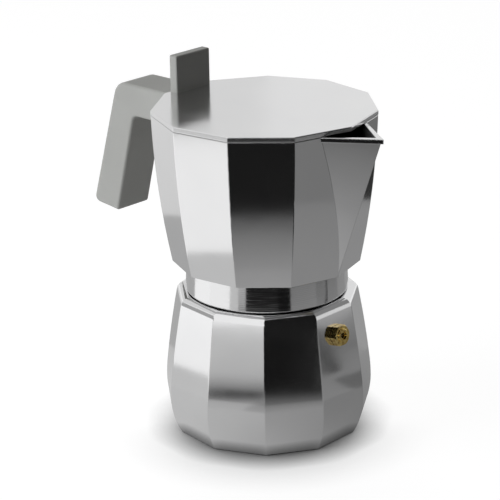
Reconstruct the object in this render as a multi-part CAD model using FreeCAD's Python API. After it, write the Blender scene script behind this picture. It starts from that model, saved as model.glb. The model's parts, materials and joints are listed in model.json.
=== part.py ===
"""Eleven-sided stove-top moka pot: boiler, funnel, threaded collector with a spout, hinged lid and handle.

Millimetres. +Z is up, the origin is the centre of the boiler's base, the spout points along +X.
"""
import FreeCAD, Part
import math
import os

from FreeCAD import Vector

# Faceting shared by the boiler, the collector and the lid
SIDES = 11
STEP = 360.0 / SIDES
HALF = math.radians(STEP / 2)

# Boiler: one facet's outline is three arcs, the lower two upright where they meet at the belly
BOILER_BELLY = 47.7
BOILER_BELLY_Z = 18.6
BOILER_BASE = 42.8
BOILER_BELLY_ARC = 81.0
BOILER_BEND_Z = 27.4
BOILER_UPPER_ARC = 480.0
SHOULDER_Z = 67.4
BOILER_WALL = 3.0
BOILER_FLOOR = 3.5
BOILER_INNER_CORNER = 2.5
BOILER_EDGE_ROUND = 0.9
SHOULDER_ROUND = 4.4
BASE_ROUND = 0.6
UPRIGHT_SPAN = 5.0
CAVITY_TOP_Z = 59.0
NECK_ROOT = 33.4
NECK_BORE = 30.5
NECK_TOP_Z = 78.5
NECK_CHAMFER = 0.6

# Screw thread between the boiler's neck and the collector's collar
THREAD_PITCH = 4.0
THREAD_EMBED = 0.3
MALE_START_Z = 70.0
MALE_TURNS = 1.75
MALE_CREST = 34.4
MALE_HALF_ROOT = 1.15
MALE_HALF_CREST = 0.65
FEMALE_LEAD_TURNS = 0.35
FEMALE_TURNS = 2.0
FEMALE_CREST = 33.85
FEMALE_HALF_ROOT = 1.05
FEMALE_HALF_CREST = 0.6

# Collector: faceted pot over a turned round collar, a little wider at its lower edge
COLLAR_OUTER = 38.3
COLLAR_DRAFT = 2.0
COLLAR_ROOT = 34.9
COLLAR_BOTTOM_Z = 68.0
COLLAR_EDGE = 0.5
GASKET_SEAT_BORE = 33.4
GASKET_SEAT_Z = 79.0
FOOT_Z = 82.2
FOOT_CORNER = 44.3
RIM_Z = 152.8
RIM_CORNER = 52.4
COLLECTOR_BOW = 1.45
COLLECTOR_WALL = 2.4
COLLECTOR_EDGE_ROUND = 0.9
COLLECTOR_FLOOR_Z = 86.0
DOME_RADIUS = 27.5
DOME_Z = 83.4

# Spout: the corner on +X is drawn out along a straight ridge
SPOUT_REACH = 17.55
SPOUT_SPREAD = 16.3
SPOUT_FOOT_SPREAD = 0.3
SPOUT_SPREAD_POWER = 1.4
SPOUT_SECTIONS = 7
SPOUT_SINK = 0.15
SPOUT_OVERLAP = 0.35
SPOUT_WALL_SETBACK = 1.1
LIP_TIP = 70.7
LIP_HEIGHT = 2.1

# Coffee column inside the collector
COLUMN_FOOT = 8.5
COLUMN_NECK = 6.0
COLUMN_BORE = 4.2
COLUMN_STRAIGHT_Z = 127.0
COLUMN_TOP_Z = 134.0
COLUMN_SPIGOT = 6.0
SPIGOT_FIT = 0.03
CAP_WALL = 1.0
CAP_TOP_Z = 140.5
CAP_SLEEVE_Z = 128.5
CAP_WINDOW_WIDTH = 7.0
CAP_WINDOW_HEIGHT = 3.6
CAP_DOME_ROUND = 2.0

# Funnel hung in the boiler's neck
FUNNEL_RIM = 33.0
FUNNEL_RIM_THICK = 0.8
BASKET_OUTER = 29.8
BASKET_WALL = 0.9
BASKET_STEP_Z = 60.0
BASKET_CONE_Z = 50.0
STEM_OUTER = 5.4
STEM_INNER = 4.6
STEM_BOTTOM_Z = 6.5
STEM_SOCKET = 4.5
STEM_FIT = 0.03
SCREEN_RADIUS = 28.7
SCREEN_THICK = 0.8
SCREEN_LEDGE = 27.3

# Perforations of the screen and the filter plate
HOLE_RADIUS = 0.9
HOLE_RING_STEP = 4.6
HOLE_RINGS = 5
HOLES_PER_RING = 6

# Gasket and filter plate under the collector's floor
GASKET_INNER = 28.2
GASKET_OUTER = 33.0
GASKET_ROUND = 0.6
PLATE_RADIUS = 28.15
PLATE_THICK = 0.8
PLATE_RIM_HEIGHT = 2.0
PLATE_LIFT = 0.4

# Safety valve, square to the boiler's facet under the spout
VALVE_Z = 53.75
SPOT_RADIUS = 4.3
SPOT_DEPTH = 0.6
VALVE_HOLE = 3.2
WASHER_OUTER = 4.2
WASHER_THICK = 0.8
HEX_SIDES = 6
HEX_FLATS = 9.0
HEX_END = 4.2
HEX_CHAMFER = 0.6
BOSS_RADIUS = 3.2
BOSS_END = 4.8
BOSS_ROUND = 0.3
SHANK_RADIUS = 3.15
SHANK_END = -5.2
VALVE_BORE = 2.0
SEAT_X = -3.4
SEAT_HOLE = 1.3
PLUNGER_HEAD = 1.8
PLUNGER_HEAD_LENGTH = 1.2
PLUNGER_STEM = 0.8
PLUNGER_TIP = 1.2
RETAINER_INNER = 1.3
RETAINER_START = 3.4
RETAINER_END = 4.2
RETAINER_FIT = 0.02
SPRING_COIL = 1.35
SPRING_WIRE = 0.25
SPRING_TURNS = 5
SPRING_MARGIN = 0.1

# Lid
LID_CORNER = 52.5
LID_BOTTOM_Z = 152.9
LID_TOP_Z = 155.3
LID_EDGE_ROUND = 0.9
LID_FILLET = 0.4
PIN_X = -53.5
PIN_Z = 151.6
PIN_RADIUS = 1.2
PIN_NEAR_Y = -8.5
PIN_FAR_Y = 10.2
KNUCKLE_RADIUS = 2.2
KNUCKLE_HALF = 4.2
KNUCKLE_RUN_FIT = 0.06
PIN_HELD_FIT = 0.02
TONGUE_ROOT_X = -47.5
TONGUE_ROOT_DROP = 0.25
TONGUE_UNDER_X = -50.6
TONGUE_UNDER_TIP_X = -51.4

# Knob on the lid
KNOB_FRONT_X = -45.3
KNOB_THICK = 4.95
KNOB_HALF = 11.1
KNOB_HEIGHT = 17.7
KNOB_ROUND = 0.8
KNOB_SCREW_Y = 5.0
KNOB_SCREW_RADIUS = 1.2
KNOB_SCREW_DEPTH = 7.0
KNOB_SCREW_FIT = 0.03
SCREW_HEAD = 2.3
SCREW_SINK = 1.2
SCREW_SLOT = 0.6
SCREW_SLOT_DEPTH = 0.5

# Handle
HANDLE_HALF = 10.5
HANDLE_TOP_Z = 153.9
ARM_BOTTOM_Z = 138.0
HANDLE_GAP = 0.5
GRIP_INNER_TOP_X = -76.6
GRIP_INNER_LEAN = 14.5
GRIP_OUTER_TOP_X = -88.1
GRIP_OUTER_LEAN = 16.4
GRIP_END_Z = 87.4
GRIP_END_RISE = 1.9
GRIP_TOP_ROUND = 9.0
GRIP_INNER_ROUND = 3.0
GRIP_END_ROUND = 3.0
HANDLE_EDGE_ROUND = 1.5
SLOT_HALF = 4.6
SLOT_BACK_X = -57.1
SLOT_FLOOR_Z = 148.8
TANG_END_X = -72.0
TANG_HALF = 6.0
TANG_BOTTOM_Z = 141.8
TANG_TOP_Z = 147.4
POCKET_FIT = 0.2
HANDLE_SCREW_X = -65.5
HANDLE_SCREW_RADIUS = 1.95
HANDLE_SCREW_HEAD = 3.4
HANDLE_SCREW_HEAD_Z = 140.3
HANDLE_SCREW_SEAT = 2.2
HANDLE_SCREW_TOP_Z = 146.8
HANDLE_SCREW_FIT = 0.04

FAR = 90.0
NEAR = 0.01
ORIGIN = Vector(0, 0, 0)
UP = Vector(0, 0, 1)


def polar(radius, degrees, z):
    """A point at a radius and an azimuth."""
    angle = math.radians(degrees)
    return Vector(radius * math.cos(angle), radius * math.sin(angle), z)


def closed_face(edges):
    """The flat face inside a closed chain of edges."""
    return Part.Face(Part.Wire([edge.toShape() for edge in edges]))


def line(start, end):
    return Part.LineSegment(start, end)


def lathe(outline):
    """Turn a closed outline of (radius, height) points about the upright axis."""
    points = [Vector(radius, 0, z) for radius, z in outline]
    wire = Part.makePolygon(points + points[:1])
    return Part.Face(wire).revolve(ORIGIN, UP, 360)


def tube(outer, inner, bottom, top):
    return lathe([(inner, bottom), (outer, bottom), (outer, top), (inner, top)])


def disc(radius, bottom, top):
    return Part.makeCylinder(radius, top - bottom, Vector(0, 0, bottom))


def block(low, high):
    """A box between two opposite corners."""
    size = [b - a for a, b in zip(low, high)]
    return Part.makeBox(*size, Vector(*low))


def rounded_polygon(corner, z, rounding):
    """The pot's eleven-sided outline at one height, with an arc at each corner."""
    setback = rounding * math.tan(HALF)
    inset = rounding / math.cos(HALF) - rounding
    edges = []
    corners = [polar(corner, STEP * i, z) for i in range(SIDES)]
    for i, here in enumerate(corners):
        before = (corners[i - 1] - here).normalize()
        after = corners[(i + 1) % SIDES] - here
        side = after.Length
        after.normalize()
        start = here + before * setback
        end = here + after * setback
        crown = here - Vector(here.x, here.y, 0).normalize() * inset
        edges.append(Part.Arc(start, crown, end))
        edges.append(line(end, here + after * (side - setback)))
    return Part.Wire([edge.toShape() for edge in edges])


def fillet_where(shape, radius, chosen):
    """Round the edges for which chosen(edge) is true."""
    return shape.makeFillet(radius, [edge for edge in shape.Edges if chosen(edge)])


def edge_span(edge):
    """The lowest and the highest point of an edge."""
    return edge.BoundBox.ZMin, edge.BoundBox.ZMax


def on_arc(arc, z):
    """The point of a facet's arc at a height."""
    centre_x, centre_z, radius = arc
    return Vector(centre_x + math.sqrt(radius ** 2 - (z - centre_z) ** 2), 0, z)


def arc_between(arc, low, high):
    return Part.Arc(on_arc(arc, low), on_arc(arc, (low + high) / 2), on_arc(arc, high))


def faceted_block(side):
    """The block inside eleven facets that follow one upright outline, the first facing +X."""
    low = side[0].StartPoint
    high = side[-1].EndPoint
    back_high = Vector(-FAR, 0, high.z)
    back_low = Vector(-FAR, 0, low.z)
    outline = side + [line(high, back_high), line(back_high, back_low), line(back_low, low)]
    facet = closed_face(outline).extrude(Vector(0, 2 * FAR, 0))
    facet.translate(Vector(0, -FAR, 0))
    whole = facet
    for i in range(1, SIDES):
        turned = facet.copy()
        turned.rotate(ORIGIN, UP, STEP * i)
        whole = whole.common(turned)
    return whole


def boiler_bend():
    """The facet's upward lean where the belly's arc passes into the upper arc."""
    return math.asin((BOILER_BEND_Z - BOILER_BELLY_Z) / BOILER_BELLY_ARC)


def boiler_upper_arc(inset):
    """Centre and radius of the upper arc, which continues the belly's arc at the bend."""
    change = BOILER_BELLY_ARC - BOILER_UPPER_ARC
    centre_x = BOILER_BELLY - BOILER_BELLY_ARC + change * math.cos(boiler_bend())
    centre_z = BOILER_BELLY_Z + change * math.sin(boiler_bend())
    return centre_x, centre_z, BOILER_UPPER_ARC - inset


def boiler_side(inset, bottom, top):
    """The three arcs of a boiler facet between two heights, moved in by an inset."""
    drop = BOILER_BELLY - BOILER_BASE
    lower_radius = (BOILER_BELLY_Z ** 2 + drop ** 2) / (2 * drop)
    lower = (BOILER_BELLY - lower_radius, BOILER_BELLY_Z, lower_radius - inset)
    belly = (BOILER_BELLY - BOILER_BELLY_ARC, BOILER_BELLY_Z, BOILER_BELLY_ARC - inset)
    bend_z = BOILER_BELLY_Z + (BOILER_BELLY_ARC - inset) * math.sin(boiler_bend())
    return [
        arc_between(lower, bottom, BOILER_BELLY_Z),
        arc_between(belly, BOILER_BELLY_Z, bend_z),
        arc_between(boiler_upper_arc(inset), bend_z, top),
    ]


def thread_ridge(root, crest, half_root, half_crest, turns):
    """A trapezoid ridge wound round the axis, rising with the turn as a right-hand thread does."""
    helix = Part.makeHelix(THREAD_PITCH, THREAD_PITCH * turns, root)
    section = Part.makePolygon([
        Vector(root, 0, -half_root),
        Vector(crest, 0, -half_crest),
        Vector(crest, 0, half_crest),
        Vector(root, 0, half_root),
        Vector(root, 0, -half_root),
    ])
    return Part.Wire(helix).makePipeShell([section], True, True)


def male_thread():
    ridge = thread_ridge(NECK_ROOT - THREAD_EMBED, MALE_CREST, MALE_HALF_ROOT, MALE_HALF_CREST, MALE_TURNS)
    ridge.translate(Vector(0, 0, MALE_START_Z))
    return ridge


def female_thread():
    """The collar's ridge, half a pitch away from the neck's all the way round."""
    root = COLLAR_ROOT + THREAD_EMBED
    ridge = thread_ridge(root, FEMALE_CREST, FEMALE_HALF_ROOT, FEMALE_HALF_CREST, FEMALE_TURNS)
    ridge.rotate(ORIGIN, UP, 360 * FEMALE_LEAD_TURNS)
    ridge.translate(Vector(0, 0, MALE_START_Z + THREAD_PITCH * (FEMALE_LEAD_TURNS - 0.5)))
    return ridge


def boiler_cavity():
    """The turned hollow for the water, with the neck's bore."""
    side = boiler_side(BOILER_WALL, BOILER_FLOOR, CAVITY_TOP_Z)
    floor_middle = Vector(0, 0, BOILER_FLOOR)
    top = side[-1].EndPoint
    throat = Vector(NECK_BORE, 0, CAVITY_TOP_Z + top.x - NECK_BORE)
    mouth = Vector(NECK_BORE, 0, FAR)
    axis_end = Vector(0, 0, FAR)
    neck = [line(top, throat), line(throat, mouth), line(mouth, axis_end), line(axis_end, floor_middle)]
    outline = [line(floor_middle, side[0].StartPoint)] + side + neck
    hollow = closed_face(outline).revolve(ORIGIN, UP, 360)
    return fillet_where(hollow, BOILER_INNER_CORNER, lambda e: edge_span(e)[1] < BOILER_FLOOR + NEAR)


def make_boiler():
    shell = faceted_block(boiler_side(0, 0, SHOULDER_Z))
    shell = fillet_where(shell, SHOULDER_ROUND, lambda e: edge_span(e)[0] > SHOULDER_Z - NEAR)
    shell = fillet_where(shell, BOILER_EDGE_ROUND, lambda e: e.BoundBox.ZLength > UPRIGHT_SPAN)
    shell = fillet_where(shell, BASE_ROUND, lambda e: edge_span(e)[1] < NEAR)
    neck = disc(NECK_ROOT, SHOULDER_Z - BOILER_WALL, NECK_TOP_Z)
    neck = neck.makeChamfer(NECK_CHAMFER, [e for e in neck.Edges if edge_span(e)[0] > NECK_TOP_Z - NEAR])
    shell = shell.fuse(neck).fuse(male_thread()).cut(boiler_cavity())
    for tool in (disc_on_valve(SPOT_RADIUS, 0, FAR), disc_on_valve(VALVE_HOLE, 2 * SHANK_END, FAR)):
        shell = shell.cut(tool)
    return shell


def valve_tilt():
    """The facet's upward lean at the valve, in degrees."""
    centre_z, radius = boiler_upper_arc(0)[1:]
    return math.degrees(math.asin((VALVE_Z - centre_z) / radius))


def place_valve(shape):
    """Move a piece modelled along +X from the valve's seat onto the boiler's facet."""
    tilt = math.radians(valve_tilt())
    outward = Vector(math.cos(tilt), 0, math.sin(tilt))
    seat = on_arc(boiler_upper_arc(0), VALVE_Z) - outward * SPOT_DEPTH
    shape.rotate(ORIGIN, Vector(0, 1, 0), -valve_tilt())
    shape.translate(seat)
    return shape


def along_valve(radius, start, end):
    return Part.makeCylinder(radius, end - start, Vector(start, 0, 0), Vector(1, 0, 0))


def disc_on_valve(radius, start, end):
    return place_valve(along_valve(radius, start, end))


def ring_along_valve(outer, inner, start, end):
    return along_valve(outer, start, end).cut(along_valve(inner, start, end))


def make_valve_washer():
    return place_valve(ring_along_valve(WASHER_OUTER, VALVE_HOLE, 0, WASHER_THICK))


def make_valve_body():
    corner = HEX_FLATS / 2 / math.cos(math.pi / HEX_SIDES)
    corners = [polar(corner, 360 * i / HEX_SIDES, 0) for i in range(HEX_SIDES)]
    points = [Vector(WASHER_THICK, c.x, c.y) for c in corners]
    hexagon = Part.Face(Part.makePolygon(points + points[:1])).extrude(Vector(HEX_END - WASHER_THICK, 0, 0))
    blank = along_valve(corner, 0, HEX_END)
    rim = [edge for edge in blank.Edges if edge.BoundBox.XMin > HEX_END / 2]
    hexagon = hexagon.common(blank.makeChamfer(HEX_CHAMFER, rim))
    boss = along_valve(BOSS_RADIUS, WASHER_THICK, BOSS_END)
    boss = boss.makeFillet(BOSS_ROUND, [edge for edge in boss.Edges if edge.BoundBox.XMin > HEX_END])
    shank = along_valve(SHANK_RADIUS, SHANK_END, HEX_END / 2)
    body = hexagon.fuse(boss).fuse(shank)
    body = body.cut(along_valve(VALVE_BORE, SEAT_X, FAR)).cut(along_valve(SEAT_HOLE, -FAR, 0))
    return place_valve(body.removeSplitter())


def make_valve_plunger():
    head_end = SEAT_X + PLUNGER_HEAD_LENGTH
    head = along_valve(PLUNGER_HEAD, SEAT_X, head_end)
    stem = along_valve(PLUNGER_STEM, head_end - PLUNGER_HEAD_LENGTH / 2, PLUNGER_TIP)
    return place_valve(head.fuse(stem).removeSplitter())


def make_valve_retainer():
    outer = VALVE_BORE - RETAINER_FIT
    return place_valve(ring_along_valve(outer, RETAINER_INNER, RETAINER_START, RETAINER_END))


def make_valve_spring():
    """A wire coil between the plunger's head and the retainer, on quarter-turn arcs."""
    start = SEAT_X + PLUNGER_HEAD_LENGTH + SPRING_WIRE + SPRING_MARGIN
    end = RETAINER_START - SPRING_WIRE - SPRING_MARGIN
    pitch = (end - start) / SPRING_TURNS
    print("spring gap between turns", round(pitch - 2 * SPRING_WIRE, 3))

    def at(turns):
        return Vector(start + pitch * turns, *polar(SPRING_COIL, 360 * turns, 0)[:2])

    quarters = [i / 4 for i in range(4 * SPRING_TURNS)]
    path = Part.Wire([Part.Arc(at(q), at(q + 1 / 8), at(q + 1 / 4)).toShape() for q in quarters])
    tangent = path.Edges[0].tangentAt(path.Edges[0].FirstParameter)
    section = Part.Wire(Part.makeCircle(SPRING_WIRE, at(0), tangent))
    return place_valve(path.makePipeShell([section], True, False))


def make_funnel_basket():
    rim_top = NECK_TOP_Z + FUNNEL_RIM_THICK
    inner = BASKET_OUTER - BASKET_WALL
    socket = STEM_OUTER + STEM_FIT
    socket_z = BASKET_CONE_Z - STEM_SOCKET
    ledge_z = BASKET_STEP_Z + BASKET_WALL
    return lathe([
        (socket, socket_z),
        (socket + BASKET_WALL, socket_z),
        (socket + BASKET_WALL, BASKET_CONE_Z - BASKET_WALL),
        (BASKET_OUTER, BASKET_STEP_Z - BASKET_WALL),
        (BASKET_OUTER, NECK_TOP_Z),
        (FUNNEL_RIM, NECK_TOP_Z),
        (FUNNEL_RIM, rim_top),
        (inner, rim_top),
        (inner, ledge_z),
        (SCREEN_LEDGE, ledge_z),
        (SCREEN_LEDGE, BASKET_STEP_Z),
        (socket, BASKET_CONE_Z),
    ])


def make_funnel_stem():
    return tube(STEM_OUTER, STEM_INNER, STEM_BOTTOM_Z, BASKET_CONE_Z)


def perforated(plate, bottom, top):
    """Drill rings of small holes, six more in each ring."""
    centres = [ORIGIN]
    for ring in range(1, HOLE_RINGS + 1):
        count = HOLES_PER_RING * ring
        centres += [polar(ring * HOLE_RING_STEP, 360 * i / count, 0) for i in range(count)]
    drills = [Part.makeCylinder(HOLE_RADIUS, top - bottom, Vector(c.x, c.y, bottom)) for c in centres]
    return plate.cut(drills)


def make_funnel_screen():
    bottom = BASKET_STEP_Z + BASKET_WALL
    return perforated(disc(SCREEN_RADIUS, bottom, bottom + SCREEN_THICK), bottom, bottom + SCREEN_THICK)


def make_gasket():
    bottom = NECK_TOP_Z + FUNNEL_RIM_THICK
    ring = tube(GASKET_OUTER, GASKET_INNER, bottom, FOOT_Z)
    circles = [e for e in ring.Edges if e.BoundBox.ZLength < NEAR]
    return ring.makeFillet(GASKET_ROUND, [e for e in circles if e.BoundBox.XMax > GASKET_OUTER - NEAR])


def make_filter_plate():
    bottom = NECK_TOP_Z + FUNNEL_RIM_THICK + PLATE_LIFT
    plate = perforated(disc(PLATE_RADIUS, bottom, bottom + PLATE_THICK), bottom, bottom + PLATE_THICK)
    rim = tube(PLATE_RADIUS, PLATE_RADIUS - PLATE_THICK, bottom, bottom + PLATE_RIM_HEIGHT)
    return plate.fuse(rim).removeSplitter()


def collector_arc(inset):
    """Centre and radius of the collector facet's arc, moved in by an inset."""
    low = Vector(FOOT_CORNER * math.cos(HALF), 0, FOOT_Z)
    high = Vector(RIM_CORNER * math.cos(HALF), 0, RIM_Z)
    middle = (low + high) / 2 + Vector(COLLECTOR_BOW, 0, 0)
    circle = Part.Circle(low, middle, high)
    return circle.Center.x, circle.Center.z, circle.Radius - inset


def collector_block(inset, bottom):
    """The collector's bowed block with a rounded corner on +X."""
    whole = faceted_block([arc_between(collector_arc(inset), bottom, RIM_Z)])
    whole.rotate(ORIGIN, UP, STEP / 2)
    return fillet_where(whole, COLLECTOR_EDGE_ROUND, lambda e: e.BoundBox.ZLength > UPRIGHT_SPAN)


def spout_wedge(inset, reach):
    """The drawn-out corner as one block: at each height a triangle from the ridge back to both facets."""
    arc = collector_arc(inset)
    foot_tip = on_arc(arc, FOOT_Z).x / math.cos(HALF) - SPOUT_SINK
    rim_tip = on_arc(arc, RIM_Z).x / math.cos(HALF) + reach
    wires = []
    for i in range(SPOUT_SECTIONS):
        rise = i / (SPOUT_SECTIONS - 1)
        z = FOOT_Z + rise * (RIM_Z - FOOT_Z)
        corner = on_arc(arc, z).x / math.cos(HALF) - SPOUT_SINK * (1 - rise)
        spread = SPOUT_FOOT_SPREAD + (SPOUT_SPREAD - SPOUT_FOOT_SPREAD) * rise ** SPOUT_SPREAD_POWER
        tip = Vector(foot_tip + (rim_tip - foot_tip) * rise, 0, z)
        crease = Vector(corner - spread * math.sin(HALF), spread * math.cos(HALF), z)
        inward = crease + (crease - tip) * SPOUT_OVERLAP
        mirrored = Vector(inward.x, -inward.y, z)
        wires.append(Part.makePolygon([tip, inward, mirrored, tip]))
    return Part.makeLoft(wires, True, False)


def spout_lip():
    """The thicker band round the spout's mouth, fading into the rim at both ends."""
    near = Vector(RIM_CORNER, 0, RIM_Z - LIP_HEIGHT)
    near += Vector(-math.sin(HALF), math.cos(HALF), 0) * SPOUT_SPREAD
    far = Vector(near.x, -near.y, near.z)
    tip = Vector(LIP_TIP, 0, near.z)
    return Part.Face(Part.makePolygon([tip, near, far, tip])).extrude(Vector(0, 0, LIP_HEIGHT))


def handle_tang():
    """The cast lug that reaches into the handle."""
    root_x = wall_x(TANG_BOTTOM_Z) + COLLECTOR_WALL
    return block((TANG_END_X, -TANG_HALF, TANG_BOTTOM_Z), (root_x, TANG_HALF, TANG_TOP_Z))


def bar_up(radius, bottom, top):
    """A round bar on the handle screw's axis."""
    return Part.makeCylinder(radius, top - bottom, Vector(HANDLE_SCREW_X, 0, bottom))


def make_collector():
    pot = collector_block(0, FOOT_Z)
    collar_height = (FOOT_Z + COLLECTOR_FLOOR_Z) / 2 - COLLAR_BOTTOM_Z
    collar_top = COLLAR_OUTER - collar_height * math.tan(math.radians(COLLAR_DRAFT))
    collar = Part.makeCone(COLLAR_OUTER, collar_top, collar_height, Vector(0, 0, COLLAR_BOTTOM_Z))
    collar = fillet_where(collar, COLLAR_EDGE, lambda e: edge_span(e)[1] < COLLAR_BOTTOM_Z + NEAR)
    spout = spout_wedge(0, SPOUT_REACH)
    outside = pot.fuse(spout).fuse(spout_lip()).fuse(handle_tang()).fuse(collar)
    channel = spout_wedge(COLLECTOR_WALL, SPOUT_REACH - SPOUT_WALL_SETBACK)
    channel = channel.common(block((-FAR, -FAR, COLLECTOR_FLOOR_Z), (FAR, FAR, 2 * FAR)))
    hollow = collector_block(COLLECTOR_WALL, COLLECTOR_FLOOR_Z).fuse(channel)
    thread_bore = disc(COLLAR_ROOT, COLLAR_BOTTOM_Z, GASKET_SEAT_Z)
    gasket_bore = disc(GASKET_SEAT_BORE, COLLAR_BOTTOM_Z, FOOT_Z)
    dome = disc(DOME_RADIUS, FOOT_Z, DOME_Z)
    column_hole = disc(COLUMN_SPIGOT + SPIGOT_FIT, FOOT_Z, COLLECTOR_FLOOR_Z)
    hole_top = HANDLE_SCREW_TOP_Z + HANDLE_SCREW_FIT
    screw_hole = bar_up(HANDLE_SCREW_RADIUS + HANDLE_SCREW_FIT, ARM_BOTTOM_Z, hole_top)
    body = outside
    for tool in (hollow, thread_bore, gasket_bore, dome, column_hole, screw_hole):
        body = body.cut(tool)
    return body.fuse(female_thread())


def make_column():
    return lathe([
        (COLUMN_BORE, DOME_Z),
        (COLUMN_SPIGOT, DOME_Z),
        (COLUMN_SPIGOT, COLLECTOR_FLOOR_Z),
        (COLUMN_FOOT, COLLECTOR_FLOOR_Z),
        (COLUMN_NECK, COLUMN_STRAIGHT_Z),
        (COLUMN_NECK, COLUMN_TOP_Z),
        (COLUMN_BORE, COLUMN_TOP_Z),
    ])


def make_column_cap():
    outer = COLUMN_NECK + SPIGOT_FIT + CAP_WALL
    cup = disc(outer, CAP_SLEEVE_Z, CAP_TOP_Z)
    cup = fillet_where(cup, CAP_DOME_ROUND, lambda e: edge_span(e)[0] > CAP_TOP_Z - NEAR)
    cup = cup.cut(disc(COLUMN_NECK + SPIGOT_FIT, CAP_SLEEVE_Z, CAP_TOP_Z - CAP_WALL - CAP_DOME_ROUND / 2))
    half = CAP_WINDOW_WIDTH / 2
    sill = COLUMN_TOP_Z + CAP_WALL / 2
    return cup.cut(block((-half, -FAR, sill), (half, FAR, sill + CAP_WINDOW_HEIGHT)))


def tongue_outline():
    """The lid's tongue seen from the side, without its round knuckle."""
    return [
        Vector(TONGUE_ROOT_X, 0, LID_BOTTOM_Z),
        Vector(TONGUE_ROOT_X, 0, LID_TOP_Z - TONGUE_ROOT_DROP),
        Vector(PIN_X, 0, PIN_Z + KNUCKLE_RADIUS),
        Vector(PIN_X, 0, PIN_Z),
        Vector(TONGUE_UNDER_TIP_X, 0, PIN_Z),
        Vector(TONGUE_UNDER_X, 0, LID_BOTTOM_Z),
    ]


def across(radius, x, z, start, end):
    """A round bar along Y."""
    return Part.makeCylinder(radius, end - start, Vector(x, start, z), Vector(0, 1, 0))


def knob_screw_axis(side):
    return Vector(KNOB_FRONT_X - KNOB_THICK / 2, side * KNOB_SCREW_Y, LID_BOTTOM_Z)


def countersink(grow):
    """A countersunk head and its shank, pointing up from the lid's underside."""
    shank = KNOB_SCREW_RADIUS + grow
    head = Part.makeCone(SCREW_HEAD + grow, shank, SCREW_SINK)
    return head.fuse(Part.makeCylinder(shank, KNOB_SCREW_DEPTH + LID_TOP_Z - LID_BOTTOM_Z + grow))


def moved(shape, offset):
    copy = shape.copy()
    copy.translate(offset)
    return copy


def make_lid():
    plate = Part.Face(rounded_polygon(LID_CORNER, LID_BOTTOM_Z, LID_EDGE_ROUND))
    plate = plate.extrude(Vector(0, 0, LID_TOP_Z - LID_BOTTOM_Z))
    plate = fillet_where(plate, LID_FILLET, lambda e: e.BoundBox.ZLength < NEAR)
    points = tongue_outline()
    tongue = Part.Face(Part.makePolygon(points + points[:1])).extrude(Vector(0, 2 * KNUCKLE_HALF, 0))
    tongue.translate(Vector(0, -KNUCKLE_HALF, 0))
    knuckle = across(KNUCKLE_RADIUS, PIN_X, PIN_Z, -KNUCKLE_HALF, KNUCKLE_HALF)
    lid = plate.fuse(tongue.fuse(knuckle))
    lid = lid.cut(across(PIN_RADIUS + KNUCKLE_RUN_FIT, PIN_X, PIN_Z, -FAR, FAR))
    screws = [moved(countersink(KNOB_SCREW_FIT), knob_screw_axis(side)) for side in (-1, 1)]
    return lid.cut(screws)


def make_lid_knob():
    low = (KNOB_FRONT_X - KNOB_THICK, -KNOB_HALF, LID_TOP_Z)
    high = (KNOB_FRONT_X, KNOB_HALF, LID_TOP_Z + KNOB_HEIGHT)
    knob = block(low, high)
    knob = fillet_where(knob, KNOB_ROUND, lambda e: edge_span(e)[1] > LID_TOP_Z + NEAR)
    return knob.cut([moved(countersink(KNOB_SCREW_FIT), knob_screw_axis(side)) for side in (-1, 1)])


def make_knob_screws():
    slot = block((-FAR, -SCREW_SLOT / 2, -SCREW_SINK), (FAR, SCREW_SLOT / 2, SCREW_SLOT_DEPTH))
    screw = countersink(0).removeSplitter().cut(slot)
    return Part.makeCompound([moved(screw, knob_screw_axis(side)) for side in (-1, 1)])


def make_hinge_pin():
    return across(PIN_RADIUS, PIN_X, PIN_Z, PIN_NEAR_Y, PIN_FAR_Y)


def wall_x(z):
    """Where the collector's rear facet is at a height."""
    return -on_arc(collector_arc(0), z).x


def crosswise_at(point):
    """Picks the edge that runs across the handle through a point of its side view."""
    return lambda e: e.BoundBox.YLength > HANDLE_HALF and (e.CenterOfMass - point).Length < NEAR


def leaned(top, degrees, z):
    """A point lower on a line that leans outward on its way down."""
    return Vector(top.x - (top.z - z) * math.tan(math.radians(degrees)), 0, z)


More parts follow.
